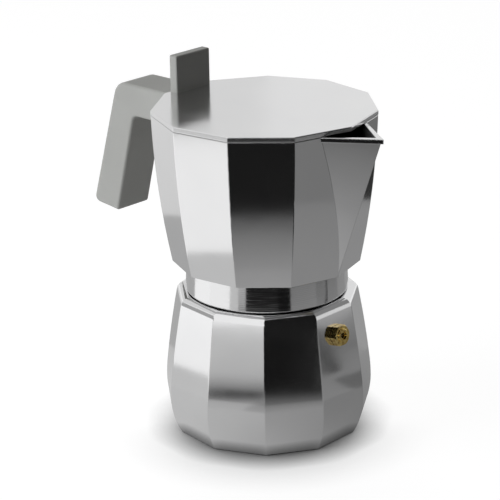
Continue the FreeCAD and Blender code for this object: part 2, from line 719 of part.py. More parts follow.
def make_handle():
    inner_top = Vector(GRIP_INNER_TOP_X, 0, ARM_BOTTOM_Z)
    outer_top = Vector(GRIP_OUTER_TOP_X, 0, HANDLE_TOP_Z)
    inner_end = leaned(inner_top, GRIP_INNER_LEAN, GRIP_END_Z)
    outer_end = leaned(outer_top, GRIP_OUTER_LEAN, GRIP_END_Z + GRIP_END_RISE)
    points = [
        Vector(wall_x(HANDLE_TOP_Z) - HANDLE_GAP, 0, HANDLE_TOP_Z),
        Vector(wall_x(ARM_BOTTOM_Z) - HANDLE_GAP, 0, ARM_BOTTOM_Z),
        inner_top,
        inner_end,
        outer_end,
        outer_top,
    ]
    body = Part.Face(Part.makePolygon(points + points[:1])).extrude(Vector(0, 2 * HANDLE_HALF, 0))
    body.translate(Vector(0, -HANDLE_HALF, 0))

    body = fillet_where(body, GRIP_TOP_ROUND, crosswise_at(outer_top))
    body = fillet_where(body, GRIP_INNER_ROUND, crosswise_at(inner_top))
    body = fillet_where(body, GRIP_END_ROUND, crosswise_at(outer_end))
    body = body.makeFillet(HANDLE_EDGE_ROUND, handle_rims(body))
    fit = POCKET_FIT
    pocket_low = (TANG_END_X - fit, -TANG_HALF - fit, TANG_BOTTOM_Z - fit)
    pocket = block(pocket_low, (0, TANG_HALF + fit, TANG_TOP_Z + fit))
    slot = block((SLOT_BACK_X, -SLOT_HALF, SLOT_FLOOR_Z), (0, SLOT_HALF, FAR * 2))
    pin_hole = across(PIN_RADIUS + PIN_HELD_FIT, PIN_X, PIN_Z, PIN_NEAR_Y, FAR)
    screw_hole = bar_up(HANDLE_SCREW_RADIUS + POCKET_FIT, FOOT_Z, TANG_BOTTOM_Z)
    counterbore = bar_up(HANDLE_SCREW_HEAD + POCKET_FIT, FOOT_Z, HANDLE_SCREW_HEAD_Z)
    return body.cut([pocket, slot, pin_hole, screw_hole, counterbore])


def handle_rims(body):
    """The edges of both flat sides, with the front and lower ends' crosswise edges."""
    flat = [e for e in body.Edges if e.BoundBox.YLength < NEAR]
    crosswise = [e for e in body.Edges if e.BoundBox.YLength > HANDLE_HALF]
    sharp = [e for e in crosswise if meets_at_angle(body, e)]
    return flat + sharp


def meets_at_angle(body, edge):
    """True where the two faces beside an edge are flat, so that the edge between them is sharp."""
    faces = body.ancestorsOfType(edge, Part.Face)
    return all(isinstance(face.Surface, Part.Plane) for face in faces)


def make_handle_screw():
    bottom = HANDLE_SCREW_HEAD_Z - HANDLE_SCREW_SEAT
    head = bar_up(HANDLE_SCREW_HEAD, bottom, HANDLE_SCREW_HEAD_Z)
    shank = bar_up(HANDLE_SCREW_RADIUS, bottom, HANDLE_SCREW_TOP_Z)
    slot = block((HANDLE_SCREW_X - HANDLE_SCREW_HEAD, -SCREW_SLOT, bottom),
                 (HANDLE_SCREW_X + HANDLE_SCREW_HEAD, SCREW_SLOT, bottom + SCREW_SLOT))
    return head.fuse(shank).removeSplitter().cut(slot)


PIECES = {
    "boiler": make_boiler,
    "valve_washer": make_valve_washer,
    "valve_body": make_valve_body,
    "valve_plunger": make_valve_plunger,
    "valve_spring": make_valve_spring,
    "valve_retainer": make_valve_retainer,
    "funnel_basket": make_funnel_basket,
    "funnel_stem": make_funnel_stem,
    "funnel_screen": make_funnel_screen,
    "gasket": make_gasket,
    "filter_plate": make_filter_plate,
    "collector": make_collector,
    "column": make_column,
    "column_cap": make_column_cap,
    "handle": make_handle,
    "handle_screw": make_handle_screw,
    "hinge_pin": make_hinge_pin,
    "lid": make_lid,
    "lid_knob": make_lid_knob,
    "knob_screws": make_knob_screws,
}

os.makedirs("parts", exist_ok=True)
for name, make in PIECES.items():
    shape = make()
    shape.exportStep("parts/" + name + ".step")
    print(name, "solids", len(shape.Solids), "valid", shape.isValid(), "volume", round(shape.Volume, 1))
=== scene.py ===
# %% [markdown]
# # A faceted moka pot
# This lesson dresses a moka pot whose solids already exist: an eleven-sided boiler, a collector with a
# spout that screws onto it, a flat hinged lid, a plastic handle and the small works inside. They have the
# real shapes, so they stay as they are, and one piece is added: a spring. The rest is about surfaces and
# light. Polished castings look like whatever stands around them, so the studio is half of the picture.

# %% Load the solids
import json
import math

import bmesh
import bpy
from mathutils import Matrix, Quaternion, Vector


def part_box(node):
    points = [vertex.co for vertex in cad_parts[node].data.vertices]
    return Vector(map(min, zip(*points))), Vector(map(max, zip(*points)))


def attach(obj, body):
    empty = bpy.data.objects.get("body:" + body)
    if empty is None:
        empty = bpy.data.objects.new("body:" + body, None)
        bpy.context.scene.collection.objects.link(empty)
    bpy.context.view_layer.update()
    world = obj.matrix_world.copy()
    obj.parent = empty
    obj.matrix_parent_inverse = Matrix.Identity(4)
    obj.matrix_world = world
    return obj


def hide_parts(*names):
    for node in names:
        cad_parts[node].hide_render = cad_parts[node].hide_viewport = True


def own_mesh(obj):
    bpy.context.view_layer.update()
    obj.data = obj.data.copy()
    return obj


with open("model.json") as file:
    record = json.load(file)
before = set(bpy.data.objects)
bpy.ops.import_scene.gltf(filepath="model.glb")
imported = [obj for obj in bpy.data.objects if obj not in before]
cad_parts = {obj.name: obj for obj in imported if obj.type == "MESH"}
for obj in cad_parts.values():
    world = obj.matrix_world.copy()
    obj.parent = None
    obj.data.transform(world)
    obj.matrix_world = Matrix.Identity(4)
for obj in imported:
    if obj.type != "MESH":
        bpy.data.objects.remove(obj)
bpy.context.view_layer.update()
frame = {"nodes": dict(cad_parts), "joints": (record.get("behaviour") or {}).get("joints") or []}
nodes = frame["nodes"]
MM = 0.001


# %% [markdown]
# ## The camera
# The pot is seen from a little above through a long lens, so its upright edges stay almost parallel. A
# camera could be placed by eye, but here a fit to the corners of lid, foot and base gave its place, heading
# and tilt, so that the outlines fall where they should. It leans by about one degree, as the picture does.

# %% Set the camera
EYE = Vector((0.6349, -0.6822, 0.4215))
HEADING, TILT, LEAN = 133.42, -19.848, -0.936
SENSOR_WIDTH, LENS = 36.0, 152.07


def direction(azimuth, elevation=0.0):
    """The unit vector towards an azimuth and an elevation in degrees."""
    around, up = math.radians(azimuth), math.radians(elevation)
    return Vector((math.cos(up) * math.cos(around), math.cos(up) * math.sin(around), math.sin(up)))


def looking_along(vector):
    """The turn of a camera or lamp that looks along a vector and keeps its top up."""
    return vector.to_track_quat("-Z", "Y")


camera_data = bpy.data.cameras.new("portrait_camera")
camera_data.sensor_width = SENSOR_WIDTH
camera_data.lens = LENS
camera_data.clip_end = 20.0
camera = bpy.data.objects.new("portrait_camera", camera_data)
bpy.context.scene.collection.objects.link(camera)
camera.location = EYE
camera.rotation_mode = "QUATERNION"
lean = Quaternion((0, 0, 1), math.radians(LEAN))
camera.rotation_quaternion = looking_along(direction(HEADING, TILT)) @ lean
bpy.context.scene.camera = camera
bpy.context.scene.view_settings.view_transform = "Standard"
print("camera", round(EYE.length, 3), "m from the pot's foot")

# %% [markdown]
# ## Colours and nodes
# Colours are written as they look on a screen, in sRGB hex, and a shader wants them linear, so one function
# converts them. Materials are made of nodes, and one small function adds any of them: it sets the options
# that are given, and links a value that is a socket. Patterns are sized in millimetres of the real pot.

# %% Helpers for materials
WHITE = (1, 1, 1, 1)


def linear(hex_colour):
    """The linear colour of an sRGB hex code."""
    channels = [int(hex_colour[i:i + 2], 16) / 255 for i in (0, 2, 4)]
    curve = [c / 12.92 if c <= 0.04045 else ((c + 0.055) / 1.055) ** 2.4 for c in channels]
    return (*curve, 1.0)


def add(tree, kind, inputs, **settings):
    """Add one shader node: settings are its options, inputs its sockets by name or number."""
    node = tree.nodes.new("ShaderNode" + kind)
    for name, value in settings.items():
        setattr(node, name, value)
    for key, value in inputs.items():
        if isinstance(value, bpy.types.NodeSocket):
            tree.links.new(value, node.inputs[key])
        else:
            node.inputs[key].default_value = value
    return node


def new_material(name):
    """An empty node material and its tree."""
    material = bpy.data.materials.new(name)
    material.use_nodes = True
    material.node_tree.nodes.clear()
    return material, material.node_tree


def every(length_mm):
    """The scale of a pattern that repeats about once in a length given in mm."""
    return 1 / (length_mm * MM)


print("screen grey 808080 is", round(linear("808080")[0], 3), "in linear light")

# %% [markdown]
# ## Polished castings: where the wheel reached
# Boiler, collector and lid are cast in aluminium, then ground and buffed outside. The wheel never got into
# the hollows, so what looks back at the axis, the inner floor and what faces straight down keep the mould's
# skin. Such zones could be painted on by hand. A rule in nodes is better here, because it follows the
# solids: it asks which way the surface looks and how high it is. Collar and neck were turned, a band
# between two heights.

# %% Raw skin and turned bands
LOOKS_BACK = -3 * MM
LOOKS_UP, LOOKS_DOWN = 0.7, -0.9


def raw_skin(tree, place, facing, floor_mm, cast_under):
    """1 in the hollow, on the floor inside below a height and, where cast_under is 1, underneath."""
    axes = add(tree, "SeparateXYZ", {0: place}).outputs
    flat = add(tree, "CombineXYZ", {"X": axes["X"], "Y": axes["Y"]}).outputs[0]
    upward = add(tree, "SeparateXYZ", {0: facing}).outputs["Z"]
    outward = add(tree, "VectorMath", {0: flat, 1: facing}, operation="DOT_PRODUCT").outputs["Value"]
    hollow = add(tree, "Math", {0: outward, 1: LOOKS_BACK}, operation="LESS_THAN").outputs[0]
    lying = add(tree, "Math", {0: upward, 1: LOOKS_UP}, operation="GREATER_THAN").outputs[0]
    deep = add(tree, "Math", {0: axes["Z"], 1: floor_mm * MM}, operation="LESS_THAN").outputs[0]
    inner_floor = add(tree, "Math", {0: lying, 1: deep}, operation="MULTIPLY").outputs[0]
    down = add(tree, "Math", {0: upward, 1: LOOKS_DOWN}, operation="LESS_THAN").outputs[0]
    under = add(tree, "Math", {0: down, 1: cast_under}, operation="MULTIPLY").outputs[0]
    inside = add(tree, "Math", {0: hollow, 1: inner_floor}, operation="MAXIMUM").outputs[0]
    return add(tree, "Math", {0: inside, 1: under}, operation="MAXIMUM").outputs[0]


def turned_band(tree, place, low_mm, high_mm):
    """1 between two heights, where the lathe's tool went round."""
    height = add(tree, "SeparateXYZ", {0: place}).outputs["Z"]
    above = add(tree, "Math", {0: height, 1: low_mm * MM}, operation="GREATER_THAN").outputs[0]
    below = add(tree, "Math", {0: height, 1: high_mm * MM}, operation="LESS_THAN").outputs[0]
    return add(tree, "Math", {0: above, 1: below}, operation="MULTIPLY").outputs[0]


print("raw skin: looks back past", LOOKS_BACK / MM, "mm, up past", LOOKS_UP, "or down past", LOOKS_DOWN)

# %% [markdown]
# ## Polished castings: the small relief
# What keeps buffed aluminium from looking like chrome is relief: the wheel eased the edges, the faces are
# not quite flat, hair lines run up and down, the lathe left rings and the raw skin is grainy. As geometry
# that would take millions of faces, so a bevel node eases the edges and bump nodes bend the light, each
# starting from the one before. Real hair lines, rings and grain are too fine to show, from a few hundredths
# of a millimetre to about a fifth, so they are drawn coarser here.

# %% Relief of a casting
EASED_EDGE = 0.55 * MM
# At a scale of 1 a wave node repeats every 0.314 m
WAVE = 0.314


def casting_relief(tree, place, inside, turned):
    """The bent normal of a casting, with grain where inside is 1 and rings where turned is 1."""
    waviness = add(tree, "TexNoise", {"Vector": place, "Scale": every(14), "Detail": 1.0})
    upright = add(tree, "Mapping", {"Vector": place, "Scale": (every(0.25), every(0.25), every(9))})
    hair_lines = add(tree, "TexNoise", {"Vector": upright.outputs[0], "Scale": 1.0, "Detail": 3.0})
    rings = add(tree, "TexWave", {"Vector": place, "Scale": WAVE * every(0.9), "Distortion": 0.6,
                                  "Detail": 1.0}, bands_direction="Z")
    grain = add(tree, "TexNoise", {"Vector": place, "Scale": every(0.5), "Detail": 4.0})
    ring_strength = add(tree, "Math", {0: turned, 1: 0.07}, operation="MULTIPLY").outputs[0]
    grain_strength = add(tree, "Math", {0: inside, 1: 0.35}, operation="MULTIPLY").outputs[0]
    normal = add(tree, "Bevel", {"Radius": EASED_EDGE}, samples=6).outputs[0]
    for pattern, strength, depth_mm in ((waviness, 1.0, 0.03), (hair_lines, 0.10, 0.02),
                                        (rings, ring_strength, 0.04), (grain, grain_strength, 0.15)):
        normal = add(tree, "Bump", {"Strength": strength, "Distance": depth_mm * MM, "Normal": normal,
                                    "Height": pattern.outputs["Fac"]}).outputs[0]
    return normal


print("edges eased by", EASED_EDGE / MM, "mm in the shading")

# %% [markdown]
# ## Polished castings: gloss and colour
# A buffed face mirrors clearly what is close and blurs what is further off, which is a roughness of about
# 0.1, and a cloudy pattern changes it by an eighth. The lid is more satin, and its upright rim is only
# filed. The turned band's rings differ in gloss, which draws streaks round it, and the raw skin is dull and
# has gone grey. One function makes all three castings from a row of values, so that they stay alike.

# %% Polished aluminium
UPRIGHT = 0.05  # a normal that rises or falls less than this
RAW_ROUGHNESS, RAW_COLOUR = 0.46, "9A9A9A"


def casting_gloss(tree, place, facing, cloud, turned, roughness, rim_roughness):
    """The roughness of the worked outside: cloudy faces, an even upright rim and a streaky band."""
    faces = add(tree, "MapRange", {"Value": cloud, "From Min": 0.3, "From Max": 0.7,
                                   "To Min": roughness * 0.88, "To Max": roughness * 1.14}).outputs[0]
    upward = add(tree, "SeparateXYZ", {0: facing}).outputs["Z"]
    level = add(tree, "Math", {0: upward}, operation="ABSOLUTE").outputs[0]
    upright = add(tree, "Math", {0: level, 1: UPRIGHT}, operation="LESS_THAN").outputs[0]
    rimmed = add(tree, "Mix", {"Factor": upright, "A": faces, "B": rim_roughness},
                 data_type="FLOAT").outputs[0]
    lathe = add(tree, "Mapping", {"Vector": place, "Scale": (every(18), every(18), every(0.6))}).outputs[0]
    streaks = add(tree, "TexNoise", {"Vector": lathe, "Scale": 1.0, "Detail": 2.0}).outputs["Fac"]
    streaky = add(tree, "MapRange", {"Value": streaks, "From Min": 0.35, "From Max": 0.65,
                                     "To Min": 0.06, "To Max": 0.16}).outputs[0]
    return add(tree, "Mix", {"Factor": turned, "A": rimmed, "B": streaky}, data_type="FLOAT").outputs[0]


def polished_casting(name, roughness, rim_roughness, floor_mm, cast_under, band_mm):
    """Aluminium that is buffed outside, raw in the hollow and turned between two heights."""
    material, tree = new_material(name)
    place = add(tree, "TexCoord", {}).outputs["Object"]
    true_normal = add(tree, "NewGeometry", {}).outputs["True Normal"]
    facing = add(tree, "VectorTransform", {0: true_normal}, vector_type="NORMAL", convert_from="WORLD",
                 convert_to="OBJECT").outputs[0]
    inside = raw_skin(tree, place, facing, floor_mm, cast_under)
    turned = turned_band(tree, place, *band_mm)
    cloud = add(tree, "TexNoise", {"Vector": place, "Scale": every(22), "Detail": 4.0}).outputs["Fac"]
    gloss = casting_gloss(tree, place, facing, cloud, turned, roughness, rim_roughness)
    dull = add(tree, "Mix", {"Factor": inside, "A": gloss, "B": RAW_ROUGHNESS}, data_type="FLOAT")
    tone = add(tree, "ValToRGB", {"Fac": cloud})
    for stop, hex_colour in zip(tone.color_ramp.elements, ("E4E4E5", "EBEBEB")):
        stop.color = linear(hex_colour)
    stained = add(tree, "Mix", {"Factor": inside, "A": tone.outputs[0], "B": linear(RAW_COLOUR)},
                  data_type="RGBA")
    shader = add(tree, "BsdfPrincipled", {"Base Color": stained.outputs["Result"], "Metallic": 1.0,
                                          "Roughness": dull.outputs[0],
                                          "Normal": casting_relief(tree, place, inside, turned)})
    add(tree, "OutputMaterial", {"Surface": shader.outputs[0]})
    return material


def dress(material, *names):
    """Give solids of the pot their finish."""
    for name in names:
        nodes[name].data.materials.clear()
        nodes[name].data.materials.append(material)
    print(material.name, "on", ", ".join(names))


# Roughness of faces and rim, height of the inner floor in mm, 1 if raw underneath, turned band in mm
CASTINGS = {
    "boiler": (0.105, 0.105, 6.0, 1.0, (67.4, 80.0)),
    "collector": (0.105, 0.105, 88.0, 0.0, (60.0, 82.1)),
    "lid": (0.15, 0.25, 0.0, 1.0, (0.0, 0.0)),
}
for casting, values in CASTINGS.items():
    dress(polished_casting("cast_aluminium_buffed_" + casting, *values), casting)

# %% [markdown]
# ## Even shading on the belly
# The boiler's sides swell up and down, and meet at crisp edges. Its solid comes as loose triangles, whose
# normals show the borders between the patches of the swelling as faint steps in a mirror. Smoothing the
# mesh by hand would change the solid, so modifiers do it: one welds the triangles, one splits them again at
# real edges, and one lets big faces decide how the light bends.

# %% Shade the boiler evenly
SAME_POINT = 0.002 * MM
REAL_EDGE = 22

boiler = nodes["boiler"]
boiler.modifiers.new("weld", "WELD").merge_threshold = SAME_POINT
split = boiler.modifiers.new("split", "EDGE_SPLIT")
split.split_angle = math.radians(REAL_EDGE)
split.use_edge_sharp = False
boiler.modifiers.new("weighted", "WEIGHTED_NORMAL").keep_sharp = True
print("boiler's shading split at edges over", REAL_EDGE, "degrees")

# %% [markdown]
# ## Plain aluminium inside
# The funnel is spun from sheet and the plates are pressed. Nobody polishes them, so they are duller and
# show fine circles from the spinning lathe. A ring pattern about the pot's axis gives the circles. They are
# drawn at more than half a millimetre, coarser than the tool's real marks, because finer ones would not
# show.

# %% Spun aluminium
def spun_sheet(name):
    """Sheet aluminium with the circles of a spinning lathe."""
    material, tree = new_material(name)
    place = add(tree, "TexCoord", {}).outputs["Object"]
    rings = add(tree, "TexWave", {"Vector": place, "Scale": WAVE * every(0.6), "Distortion": 1.5,
                                  "Detail": 2.0}, wave_type="RINGS", rings_direction="Z")
    cloud = add(tree, "TexNoise", {"Vector": place, "Scale": every(9), "Detail": 4.0})
    bump = add(tree, "Bump", {"Strength": 0.15, "Distance": 0.03 * MM, "Height": rings.outputs["Fac"]})
    gloss = add(tree, "MapRange", {"Value": cloud.outputs["Fac"], "To Min": 0.26, "To Max": 0.42})
    shader = add(tree, "BsdfPrincipled", {"Base Color": linear("D6D6D7"), "Metallic": 1.0,
                                          "Roughness": gloss.outputs[0], "Normal": bump.outputs[0]})
    add(tree, "OutputMaterial", {"Surface": shader.outputs[0]})
    return material


dress(spun_sheet("spun_aluminium_plain"), "funnel_basket", "funnel_stem", "funnel_screen", "filter_plate",
      "column", "column_cap")

# %% [markdown]
# ## Brass and steel
# The safety valve is turned from hexagon bar: the tool leaves fine lines, and the brass has browned in
# places. Screws, spring and pin are bright drawn steel, which is greyer and evener. The two differ in
# colour and gloss alone, so one function makes both: a cloudy tarnish, duller where it is darker, and fine
# tool lines.

# %% Turned brass and drawn steel
def turned_metal(name, bright, tarnished, roughness, line_mm):
    """Turned or drawn bar, browned or greyed in clouds."""
    material, tree = new_material(name)
    place = add(tree, "TexCoord", {}).outputs["Object"]
    cloud = add(tree, "TexNoise", {"Vector": place, "Scale": every(1.6), "Detail": 4.0})
    lines = add(tree, "TexNoise", {"Vector": place, "Scale": every(line_mm), "Detail": 2.0})
    colour = add(tree, "ValToRGB", {"Fac": cloud.outputs["Fac"]})
    stops = zip(colour.color_ramp.elements, (0.3, 0.62), (tarnished, bright))
    for stop, position, hex_colour in stops:
        stop.position, stop.color = position, linear(hex_colour)
    gloss = add(tree, "MapRange", {"Value": cloud.outputs["Fac"], "To Min": roughness * 1.3,
                                   "To Max": roughness * 0.8})
    bump = add(tree, "Bump", {"Strength": 0.12, "Distance": 0.02 * MM, "Height": lines.outputs["Fac"]})
    shader = add(tree, "BsdfPrincipled", {"Base Color": colour.outputs[0], "Metallic": 1.0,
                                          "Roughness": gloss.outputs[0], "Normal": bump.outputs[0]})
    add(tree, "OutputMaterial", {"Surface": shader.outputs[0]})
    return material


dress(turned_metal("brass_turned", "F4DA8C", "AA8642", 0.15, 0.12), "valve_body", "valve_plunger",
      "valve_retainer")
steel = turned_metal("steel_bright_drawn", "C9C9C8", "B4B4B4", 0.28, 0.15)
dress(steel, "handle_screw", "hinge_pin", "knob_screws")

# %% [markdown]
# ## The valve's spring
# A coil of half-millimetre wire holds the valve's plunger on its seat, and gets shorter when steam lifts
# it. A solid can't do that; here a coil of the same size takes its place. It could be a curve with a
# thickness. A small circle, spun round the valve's axis and moved along it at the same time, gives a closed
# mesh straight away, the way a lathe winds the wire.

# %% Wind the spring
COIL_RADIUS, WIRE_RADIUS, TURNS, COIL_LENGTH = 1.35 * MM, 0.25 * MM, 5, 4.9 * MM
WIRE_SIDES, STEPS = 10, 20 * TURNS
ORIGIN, UP = Vector((0, 0, 0)), Vector((0, 0, 1))

coil = bmesh.new()
bmesh.ops.create_circle(coil, segments=WIRE_SIDES, radius=WIRE_RADIUS)
bmesh.ops.rotate(coil, verts=coil.verts, cent=ORIGIN, matrix=Matrix.Rotation(math.radians(90), 3, "X"))
bmesh.ops.translate(coil, verts=coil.verts, vec=(COIL_RADIUS, 0, -COIL_LENGTH / 2))
bmesh.ops.spin(coil, geom=[*coil.verts, *coil.edges], cent=ORIGIN, axis=UP,
               dvec=(0, 0, COIL_LENGTH / STEPS), angle=math.tau * TURNS, steps=STEPS)
bmesh.ops.holes_fill(coil, edges=[edge for edge in coil.edges if edge.is_boundary])
bmesh.ops.recalc_face_normals(coil, faces=coil.faces)
print("coil of", TURNS, "turns,", len(coil.faces), "faces")

# %% [markdown]
# ## The spring in its place
# The coil is turned from upright to the line that the plunger lifts along, and moved to the middle of the
# solid that it replaces. Both are done to the mesh, so that the object itself stays at the origin, as every
# piece does.


def placed_object(name, shape, material):
    """Make an object of a shape that is already in its place."""
    mesh = bpy.data.meshes.new(name)
    shape.to_mesh(mesh)
    shape.free()
    mesh.materials.append(material)
    piece = bpy.data.objects.new(name, mesh)
    bpy.context.scene.collection.objects.link(piece)
    return piece


lift_axis = Vector(next(joint["axis"] for joint in frame["joints"] if joint["name"] == "valve_lift"))
low, high = (Vector(corner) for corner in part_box("valve_spring"))
middle = (low + high) / 2
bmesh.ops.rotate(coil, verts=coil.verts, cent=ORIGIN, matrix=UP.rotation_difference(lift_axis).to_matrix())
bmesh.ops.translate(coil, verts=coil.verts, vec=middle)
spring = placed_object("spring_coil", coil, steel)
spring.data.shade_smooth()
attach(spring, "base")
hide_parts("valve_spring")
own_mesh(spring)

# %% [markdown]
# ## Moulded plastic
# Handle and knob are moulded in a warm grey thermoset. The mould was spark eroded, which leaves a fine even
# grain that spreads the highlight, and the colour clouds very slightly from the flow of the plastic. Real
# grain is a few hundredths of a millimetre, too fine to show, so it is drawn at a quarter of a millimetre.

# %% Grey plastic
def moulded_plastic(name, body_colour, fleck_colour):
    """Thermoset with the grain of an eroded mould."""
    material, tree = new_material(name)
    place = add(tree, "TexCoord", {}).outputs["Object"]
    grain = add(tree, "TexNoise", {"Vector": place, "Scale": every(0.28), "Detail": 3.0})
    cloud = add(tree, "TexNoise", {"Vector": place, "Scale": every(30), "Detail": 3.0})
    colour = add(tree, "ValToRGB", {"Fac": cloud.outputs["Fac"]})
    stops = zip(colour.color_ramp.elements, (0.3, 0.75), (body_colour, fleck_colour))
    for stop, position, hex_colour in stops:
        stop.position, stop.color = position, linear(hex_colour)
    gloss = add(tree, "MapRange", {"Value": cloud.outputs["Fac"], "To Min": 0.42, "To Max": 0.52})
    bump = add(tree, "Bump", {"Strength": 0.22, "Distance": 0.03 * MM, "Height": grain.outputs["Fac"]})
    shader = add(tree, "BsdfPrincipled", {"Base Color": colour.outputs[0], "Roughness": gloss.outputs[0],
                                          "IOR": 1.5, "Normal": bump.outputs[0]})
    add(tree, "OutputMaterial", {"Surface": shader.outputs[0]})
    return material


dress(moulded_plastic("thermoset_moulded_grey", "9C9C98", "A2A29E"), "handle", "lid_knob")

# %% [markdown]
# ## Gasket and washer
# The gasket is white silicone, slightly translucent and dusty, and the washer under the valve is pressed
# red-brown fibre. The gasket hides inside the closed pot and shows when the collector is unscrewed. Both
# are soft and patchy, so one function makes them, and only the silicone lets light into its surface.

# %% Silicone and fibre
def soft_seal(name, body_colour, patch_colour, roughness, glow):
    """A soft patchy seal; glow is the share of light that wanders inside it."""
    material, tree = new_material(name)
    place = add(tree, "TexCoord", {}).outputs["Object"]
    patch = add(tree, "TexNoise", {"Vector": place, "Scale": every(3), "Detail": 4.0})
    fine = add(tree, "TexNoise", {"Vector": place, "Scale": every(0.4), "Detail": 3.0})
    colour = add(tree, "ValToRGB", {"Fac": patch.outputs["Fac"]})
    stops = zip(colour.color_ramp.elements, (0.35, 0.7), (body_colour, patch_colour))
    for stop, position, hex_colour in stops:
        stop.position, stop.color = position, linear(hex_colour)
    bump = add(tree, "Bump", {"Strength": 0.2, "Distance": 0.04 * MM, "Height": fine.outputs["Fac"]})
    shader = add(tree, "BsdfPrincipled", {"Base Color": colour.outputs[0], "Roughness": roughness,
                                          "Subsurface Weight": glow, "Subsurface Scale": 1.5 * MM,
                                          "Normal": bump.outputs[0]})
    add(tree, "OutputMaterial", {"Surface": shader.outputs[0]})
    return material


dress(soft_seal("silicone_white_dusty", "E6E3DA", "D9D5C9", 0.55, 0.2), "gasket")
dress(soft_seal("fibre_pressed_red_brown", "7A4A38", "643A2B", 0.8, 0.0), "valve_washer")

# %% [markdown]
# ## The studio floor
# The floor is a sheet of white paper that is seen as white, except where the pot stands over it. The lamps
# alone would leave only a faint shadow on such a bright sheet. So occlusion nodes measure how much of the
# paper's sky the pot takes up nearby, which gives the dark line at the foot and the soft shade around it.
# The shade reaches further at the front of the studio, because the light comes from the side and from
# behind.

# %% Paper floor
FRONT = math.degrees(math.atan2(EYE.y, EYE.x))  # studio azimuths are counted from here
NEAR_SHADE, FAR_SHADE = 15 * MM, 38 * MM
FLOOR_RADIUS, FLOOR_Z = 4.0, -0.3 * MM
GLOW, GLOW_SHARE = 1.22, 0.76


def looked_at(tree):
    """1 for a ray from the camera, a mirror or a glass, 0 for one that only carries light."""
    path = add(tree, "LightPath", {}).outputs
    seen = path["Is Camera Ray"]
    for kind in ("Is Glossy Ray", "Is Transmission Ray"):
        seen = add(tree, "Math", {0: seen, 1: path[kind]}, operation="MAXIMUM").outputs[0]
    return seen


def towards(tree, azimuth):
    """How far a place on the floor lies towards a studio azimuth: 1 there, -1 on the far side of the pot."""
    place = add(tree, "TexCoord", {}).outputs["Object"]
    outward = add(tree, "VectorMath", {0: place}, operation="NORMALIZE").outputs["Vector"]
    return add(tree, "VectorMath", {0: outward, 1: direction(FRONT + azimuth)},
               operation="DOT_PRODUCT").outputs["Value"]


def shade(tree, reach, forward, slope, middle, least):
    """The pot's shade within a reach, deeper towards the front and nowhere weaker than least."""
    sky = add(tree, "AmbientOcclusion", {"Distance": reach}, samples=8).outputs["AO"]
    depth = add(tree, "Math", {0: forward, 1: slope, 2: middle}, operation="MULTIPLY_ADD").outputs[0]
    depth = add(tree, "Math", {0: depth, 1: least}, operation="MAXIMUM").outputs[0]
    return add(tree, "Math", {0: sky, 1: depth}, operation="POWER").outputs[0]


paper, sheet = new_material("paper_floor_white")
forward = towards(sheet, 0)
near_shade = shade(sheet, NEAR_SHADE, forward, 0.85, 0.70, 0.6)
far_shade = shade(sheet, FAR_SHADE, forward, 1.1, -0.1, 0.0)
both = add(sheet, "Math", {0: near_shade, 1: far_shade}, operation="MULTIPLY").outputs[0]
bright = add(sheet, "Math", {0: both, 1: GLOW}, operation="MULTIPLY").outputs[0]
white = add(sheet, "Emission", {"Color": WHITE, "Strength": bright}).outputs[0]
matt = add(sheet, "BsdfDiffuse", {"Color": linear("DCDCDC")}).outputs[0]
share = add(sheet, "Math", {0: looked_at(sheet), 1: GLOW_SHARE}, operation="MULTIPLY").outputs[0]
mixed = add(sheet, "MixShader", {0: share, 1: matt, 2: white})
add(sheet, "OutputMaterial", {"Surface": mixed.outputs[0]})
floor_shape = bmesh.new()
bmesh.ops.create_circle(floor_shape, cap_ends=True, segments=64, radius=FLOOR_RADIUS)
bmesh.ops.translate(floor_shape, verts=floor_shape.verts, vec=(0, 0, FLOOR_Z))
placed_object("floor", floor_shape, paper)
print("floor of", FLOOR_RADIUS, "m, front of the studio at azimuth", round(FRONT, 1))

# %% [markdown]
# ## Cards for the pot to mirror
# A polished pot shows what stands around it, and a photographer shapes that with white, grey and black
# cards. So do we: a card here is one straight edge spun about the pot's axis, lying on the floor or
# standing up. It glows by itself in one tone, or changes evenly from its inner to its outer edge, and only
# reflections see it, so it throws no shadow and never stands in the picture.

# %% Make a card
TURN = 360
CARD_STEP = 4


def plain_tone(name, tone):
    """A card of one tone, 1 is white."""
    material, tree = new_material(name)
    glow = add(tree, "Emission", {"Color": WHITE, "Strength": tone})
    add(tree, "OutputMaterial", {"Surface": glow.outputs[0]})
    return material


def only_mirrored(piece):
    """Leave a card in reflections and take it out of everything else."""
    piece.visible_camera = False
    piece.visible_diffuse = False
    piece.visible_shadow = False
    piece.visible_transmission = False
    return piece


def card(name, near, far, start, end, material):
    """Spin the edge from (radius, height) near to far, in mm, from one studio azimuth to another."""
    shape = bmesh.new()
    ends = [shape.verts.new((radius * MM, 0, z * MM)) for radius, z in (near, far)]
    edge = shape.edges.new(ends)
    begin = Matrix.Rotation(math.radians(FRONT + start), 3, "Z")
    bmesh.ops.rotate(shape, verts=ends, cent=ORIGIN, matrix=begin)
    bmesh.ops.spin(shape, geom=[*ends, edge], cent=ORIGIN, axis=UP, angle=math.radians(end - start),
                   steps=max(2, int((end - start) / CARD_STEP)), use_merge=end - start == TURN)
    return only_mirrored(placed_object(name, shape, material))


print("a card has a step about every", CARD_STEP, "degrees")

# %% [markdown]
# ## The sheet next to the pot
# The lower half of the boiler mirrors the paper right at its foot. That paper is lightest on the left,
# where the light stands, and dark where the pot shades it closely. A round card with a tone that swings
# about the pot does this, and it lies a hair above the floor, so that reflections meet it first.

# %% Near sheet
CARD_Z = -0.15
NEAR_SHEET = (30, 120)
LIGHT_SIDE = -95
MEAN_TONE, TONE_SWING = 0.41, 0.19
CLOSE_SHADE = 6 * MM

